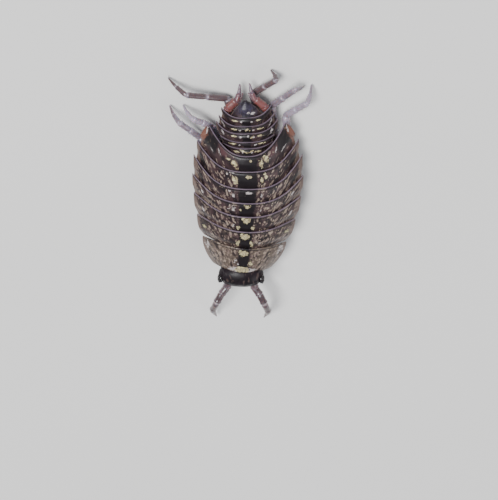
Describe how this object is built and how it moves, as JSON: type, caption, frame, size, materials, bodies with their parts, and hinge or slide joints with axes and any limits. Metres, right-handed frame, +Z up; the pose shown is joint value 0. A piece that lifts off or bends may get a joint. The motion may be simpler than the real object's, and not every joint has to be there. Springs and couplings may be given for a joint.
{
  "type": "woodlouse",
  "caption": "Common striped woodlouse at life size, with overlapping back plates, jointed legs and feelers, standing on its feet.",
  "frame": {"origin": "middle of the footprint, on the floor under the feet", "axes": "+Z up, head towards -Y, tail towards +Y"},
  "size_m": [0.0062, 0.0132, 0.0023],
  "materials": {
    "shell": "horny shell, dark brown with cream marks and pale violet rims, satin to glossy",
    "tail_shell": "horny shell, purple black with rows of cream dashes, satin to glossy",
    "head_shell": "horny shell, nearly black, satin",
    "eyes": "black compound eye of round facets, glossy",
    "feelers": "jointed cuticle, mottled violet grey, satin",
    "legs": "thin pale cuticle, violet grey with brown mottling, glossy",
    "uropods": "rust red base with violet grey tips, glossy",
    "belly": "pale cuticle of the underside, satin"
  },
  "bodies": {
    "root": {"head": "head_shell", "eye_left": "eyes", "eye_right": "eyes", "antenna_left": "feelers", "antenna_right": "feelers", "mouthparts": "belly", "pereon_plate_1": "shell", "pereon_plate_2": "shell", "pereon_plate_3": "shell", "pereon_plate_4": "shell", "pereon_plate_5": "shell", "pereon_plate_6": "shell", "pereon_plate_7": "shell", "pleon_plate_1": "tail_shell", "pleon_plate_2": "tail_shell", "pleon_plate_3": "tail_shell", "pleon_plate_4": "tail_shell", "pleon_plate_5": "tail_shell", "telson": "tail_shell", "underside": "belly", "pleopods_left": "belly", "pleopods_right": "belly", "uropod_left": "uropods", "uropod_right": "uropods", "leg_1_left": "legs", "leg_1_right": "legs", "leg_2_left": "legs", "leg_2_right": "legs", "leg_3_left": "legs", "leg_3_right": "legs", "leg_4_left": "legs", "leg_4_right": "legs", "leg_5_left": "legs", "leg_5_right": "legs", "leg_6_left": "legs", "leg_6_right": "legs", "leg_7_left": "legs", "leg_7_right": "legs"}
  },
  "joints": []
}
